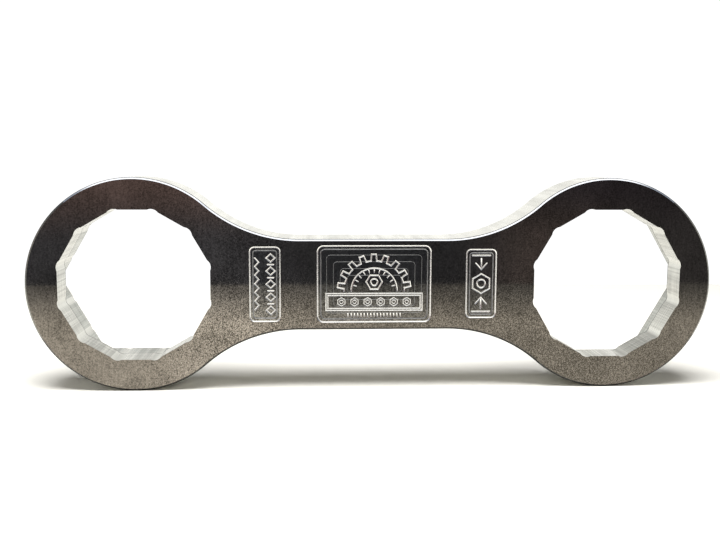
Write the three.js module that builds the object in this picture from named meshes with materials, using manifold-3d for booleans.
// Double-ended 12-point box wrench, machined in one piece from flat aluminium bar.
//
// The wrench stands on the rims of its two rings. X runs along the handle, Y through the
// thickness and Z upwards. The front face, with the engraved panels, faces -Y. The origin is
// midway between the rings, in the middle of the thickness, on the surface the rings stand on.
import * as THREE from 'three';
import { mergeVertices } from 'three/addons/utils/BufferGeometryUtils.js';
import Module from 'manifold-3d';

// Driving dimensions, in millimetres.
const THICKNESS = 15.875;            // 5/8 inch bar
const RING_RADIUS = 29.2;
const RING_SPACING = 130;            // between the two socket centres
const HANDLE_WIDTH = 25;
const NECK_RADIUS = 39.2;            // concave arcs that lead the handle into the rings
const EDGE_CHAMFER = 0.5;            // on the outer edges only; the sockets' edges are sharp

const SOCKET_ACROSS_FLATS = 41;      // both 12-point sockets
const SOCKET_DEPTH = 8.8;            // from the front face to the recess behind its 12 flats
const LEFT_HEX_ACROSS_FLATS = 41;    // hexagonal recess behind the left socket
const RIGHT_HEX_ACROSS_FLATS = 44;   // hexagonal recess behind the right socket
const RELIEF_RADIUS = 2.4;           // cutter radius at the sockets' corners
const RELIEF_OVERCUT = 0.2;          // how far the cutter runs past the flats there

const FRAME_WIDTH = 0.9;             // engraved lines round the panels
const GROOVE_DEPTH = 0.25;
const SIDE_PANEL_X = 29.7;           // the side panels' distance from the middle
const LEFT_PANEL = { width: 8.5, height: 20.7, corner: 1.4 };
const MIDDLE_PANEL = { width: 31.4, height: 21.3, corner: 1.8 };
const RIGHT_PANEL = { width: 8.5, height: 19.2, corner: 1.4 };
const EMBLEM_SIZE = 8;               // across the flats of the engraved hexagon
const EMBLEM_HOLE_RADIUS = 2.2;      // of the circle inside it

const ARC_STEP = Math.PI / 48;       // angle of one facet on the rings and necks
const CORNER_STEPS = 4;              // facets of a small corner arc
const CUT_MARGIN = 1;                // how far a cutter stands clear of the face it enters

// Points on an arc, from one angle to the other, both included.
function arc(centreX, centreY, radius, from, to, steps) {
  const points = [];
  for (let i = 0; i <= steps; i += 1) {
    const angle = from + (to - from) * i / steps;
    points.push(new THREE.Vector2(
      centreX + radius * Math.cos(angle),
      centreY + radius * Math.sin(angle),
    ));
  }
  return points;
}

// Outer outline, anticlockwise from the right ring's lowest tangent point.
function wrenchOutline() {
  const ringX = RING_SPACING / 2;
  const neckY = HANDLE_WIDTH / 2 + NECK_RADIUS;
  const reach = RING_RADIUS + NECK_RADIUS;
  const neckX = ringX - Math.sqrt(reach * reach - neckY * neckY);
  const tangent = Math.atan2(neckY, ringX - neckX);     // of ring and neck, above the -X side
  const ringHalf = Math.PI - tangent;
  const ringSteps = Math.round(ringHalf / ARC_STEP);
  const neckSweep = Math.PI / 2 - tangent;
  const neckSteps = Math.round(neckSweep / ARC_STEP);

  // Half a ring is made on each side of its far point, so that point is always a vertex, and
  // so are the ring's top and bottom.
  const quarter = Math.PI / 2;
  const quarterSteps = Math.round(quarter / ARC_STEP);
  const endSteps = ringSteps - quarterSteps;
  const ring = (x, start, turn) => [
    ...arc(x, 0, RING_RADIUS, start - turn * ringHalf, start - turn * quarter, endSteps),
    ...arc(x, 0, RING_RADIUS, start - turn * quarter, start + turn * quarter, 2 * quarterSteps).slice(1),
    ...arc(x, 0, RING_RADIUS, start + turn * quarter, start + turn * ringHalf, endSteps).slice(1),
  ];
  return [
    ...ring(ringX, 0, 1),
    ...arc(neckX, neckY, NECK_RADIUS, -tangent, -quarter, neckSteps).slice(1),
    ...arc(-neckX, neckY, NECK_RADIUS, -quarter, tangent - Math.PI, neckSteps),
    ...ring(-ringX, Math.PI, 1).slice(1),
    ...arc(-neckX, -neckY, NECK_RADIUS, Math.PI - tangent, quarter, neckSteps).slice(1),
    ...arc(neckX, -neckY, NECK_RADIUS, quarter, tangent, neckSteps).slice(0, -1),
  ];
}

// Outline of a socket: a regular polygon whose corners are opened by the milling cutter.
// One of its flats has its normal at the angle firstFlat.
function socketOutline(centreX, acrossFlats, sides, firstFlat) {
  const apothem = acrossFlats / 2;
  const halfStep = Math.PI / sides;
  const cutterDistance = (apothem + RELIEF_OVERCUT - RELIEF_RADIUS) / Math.cos(halfStep);
  const spread = halfStep + Math.acos((RELIEF_RADIUS - RELIEF_OVERCUT) / RELIEF_RADIUS);
  const points = [];
  for (let i = 0; i < sides; i += 1) {
    const corner = firstFlat + (2 * i + 1) * halfStep;
    const x = centreX + cutterDistance * Math.cos(corner);
    const y = cutterDistance * Math.sin(corner);
    points.push(...arc(x, y, RELIEF_RADIUS, corner - spread, corner + spread, CORNER_STEPS));
  }
  return points;
}

// Outline of a rectangle with round corners, anticlockwise.
function panelOutline(centreX, width, height, corner) {
  const x = width / 2 - corner;
  const y = height / 2 - corner;
  const centres = [[x, y], [-x, y], [-x, -y], [x, -y]];
  return centres.flatMap(([cornerX, cornerY], i) => arc(
    centreX + cornerX, cornerY, corner, i * Math.PI / 2, (i + 1) * Math.PI / 2, CORNER_STEPS,
  ));
}

// Prism of an outline between two depths, with an optional hole of its own.
function prism(outline, bottom, top, hole) {
  const shape = new THREE.Shape(outline);
  if (hole) shape.holes.push(new THREE.Path(hole));
  const geometry = new THREE.ExtrudeGeometry(shape, { depth: top - bottom, bevelEnabled: false });
  return geometry.translate(0, 0, bottom);
}

// The bar cut to its outline, with a chamfer round both faces.
function chamferedBlank() {
  const geometry = new THREE.ExtrudeGeometry(new THREE.Shape(wrenchOutline()), {
    depth: THICKNESS - 2 * EDGE_CHAMFER,
    bevelThickness: EDGE_CHAMFER,
    bevelSize: EDGE_CHAMFER,
    bevelOffset: -EDGE_CHAMFER,
    bevelSegments: 1,
  });
  return geometry.translate(0, 0, EDGE_CHAMFER - THICKNESS / 2);
}

// The front is at the prisms' top, +THICKNESS / 2, until the mesh is turned.
const FRONT = THICKNESS / 2;

// A 12-point socket from the front and a hexagonal recess from the back, on one axis.
function socketCutters(centreX, hexAcrossFlats) {
  const shoulder = FRONT - SOCKET_DEPTH;
  const socket = socketOutline(centreX, SOCKET_ACROSS_FLATS, 12, 0);
  const recess = socketOutline(centreX, hexAcrossFlats, 6, Math.PI / 6);
  return [
    prism(socket, -FRONT - CUT_MARGIN, FRONT + CUT_MARGIN),
    prism(recess, -FRONT - CUT_MARGIN, shoulder),
  ];
}

// The engraved line round a panel, cut into the front face.
function panelGroove(centreX, panel) {
  const inset = 2 * FRAME_WIDTH;
  return prism(
    panelOutline(centreX, panel.width, panel.height, panel.corner),
    FRONT - GROOVE_DEPTH,
    FRONT + CUT_MARGIN,
    panelOutline(centreX, panel.width - inset, panel.height - inset, panel.corner - FRAME_WIDTH),
  );
}

// An engraved hexagonal nut in the middle panel.
function emblem() {
  const radius = EMBLEM_SIZE / 2 / Math.cos(Math.PI / 6);
  const hexagon = arc(0, 0, radius, 0, Math.PI * 5 / 3, 5);
  const hole = arc(0, 0, EMBLEM_HOLE_RADIUS, 0, Math.PI * 23 / 12, 23);
  return prism(hexagon, FRONT - GROOVE_DEPTH, FRONT + CUT_MARGIN, hole);
}

const wasm = await Module();
wasm.setup();

function toSolid(geometry) {
  const bare = geometry.clone();
  bare.deleteAttribute('normal');
  bare.deleteAttribute('uv');
  const merged = mergeVertices(bare);
  return new wasm.Manifold(new wasm.Mesh({
    numProp: 3,
    vertProperties: new Float32Array(merged.attributes.position.array),
    triVerts: new Uint32Array(merged.index.array),
  }));
}

function toGeometry(solid) {
  const mesh = solid.getMesh();
  const geometry = new THREE.BufferGeometry();
  geometry.setAttribute('position', new THREE.BufferAttribute(mesh.vertProperties, 3));
  geometry.setIndex(new THREE.BufferAttribute(mesh.triVerts, 1));
  geometry.computeVertexNormals();
  return geometry;
}

function wrenchGeometry() {
  const cutters = [
    ...socketCutters(-RING_SPACING / 2, LEFT_HEX_ACROSS_FLATS),
    ...socketCutters(RING_SPACING / 2, RIGHT_HEX_ACROSS_FLATS),
    panelGroove(-SIDE_PANEL_X, LEFT_PANEL),
    panelGroove(0, MIDDLE_PANEL),
    panelGroove(SIDE_PANEL_X, RIGHT_PANEL),
    emblem(),
  ];
  return toGeometry(cutters.reduce(
    (solid, cutter) => solid.subtract(toSolid(cutter)),
    toSolid(chamferedBlank()),
  ));
}

const machinedAluminium = new THREE.MeshStandardMaterial({
  color: 0x9a9793,
  roughness: 0.35,
  metalness: 1,
});

const wrench = new THREE.Mesh(wrenchGeometry(), machinedAluminium);
wrench.name = 'wrench_body';
wrench.rotation.x = Math.PI / 2;         // the outline's Y becomes Z, and its top faces -Y
wrench.position.z = RING_RADIUS;         // the rings' rims touch z = 0

const part = new THREE.Group();
part.add(wrench);

export default part;
